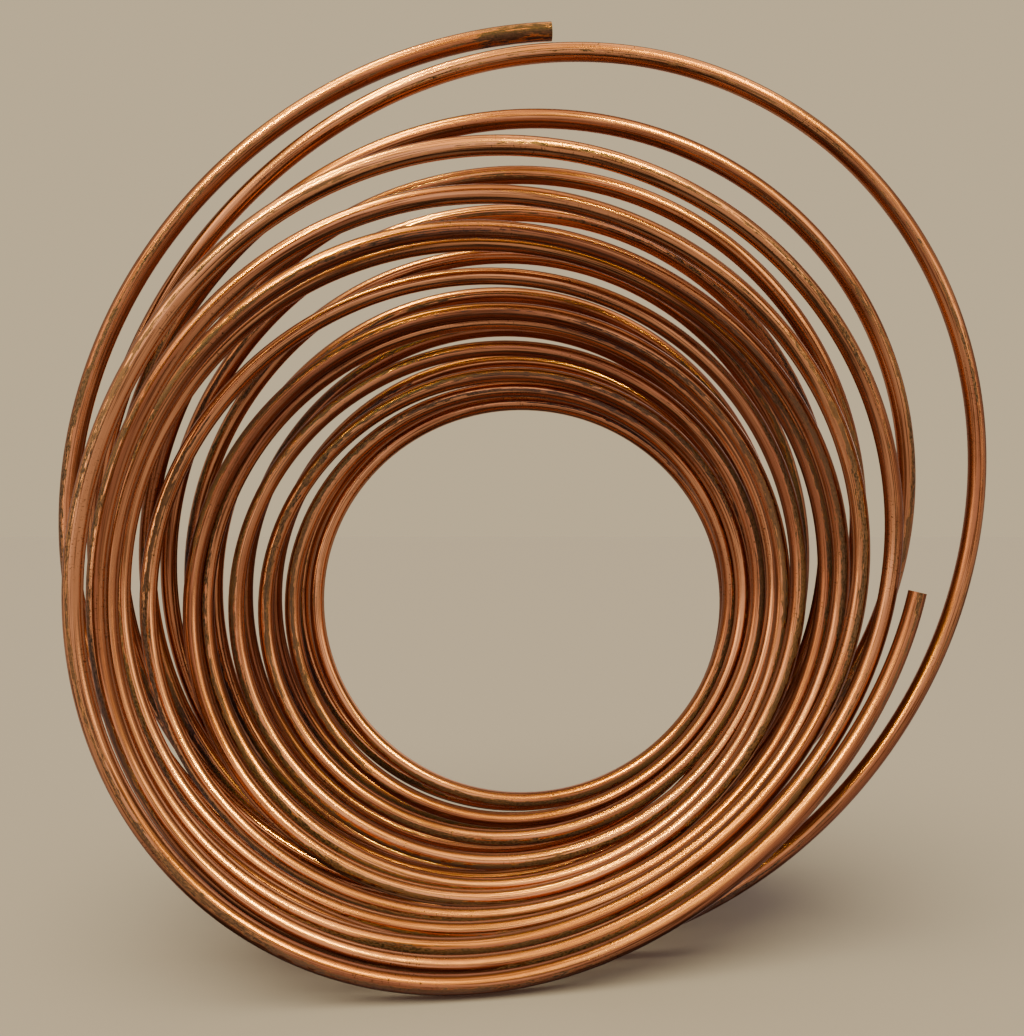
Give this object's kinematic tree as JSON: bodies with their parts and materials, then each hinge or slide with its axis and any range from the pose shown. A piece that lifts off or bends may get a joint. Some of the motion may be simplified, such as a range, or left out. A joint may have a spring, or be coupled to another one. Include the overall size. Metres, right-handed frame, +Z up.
{
  "type": "copper tube coil",
  "caption": "Length of soft copper tube wound in a loose two-layer coil, sprung open with its turns fanned apart and both cut ends free.",
  "frame": {"origin": "under the middle of the coil's box, on the surface that its lowest turns stand on", "axes": "+Z up; Y runs through the eye of the coil, -Y towards the wide open front, +Y towards the eye; +X to the right seen from the front"},
  "size_m": [0.5168, 0.214, 0.5084],
  "materials": {
    "copper": "drawn and annealed bare copper, half bright, with brown tarnish streaks along the tube"
  },
  "bodies": {
    "root": {"copper_tube": "copper"}
  },
  "joints": []
}
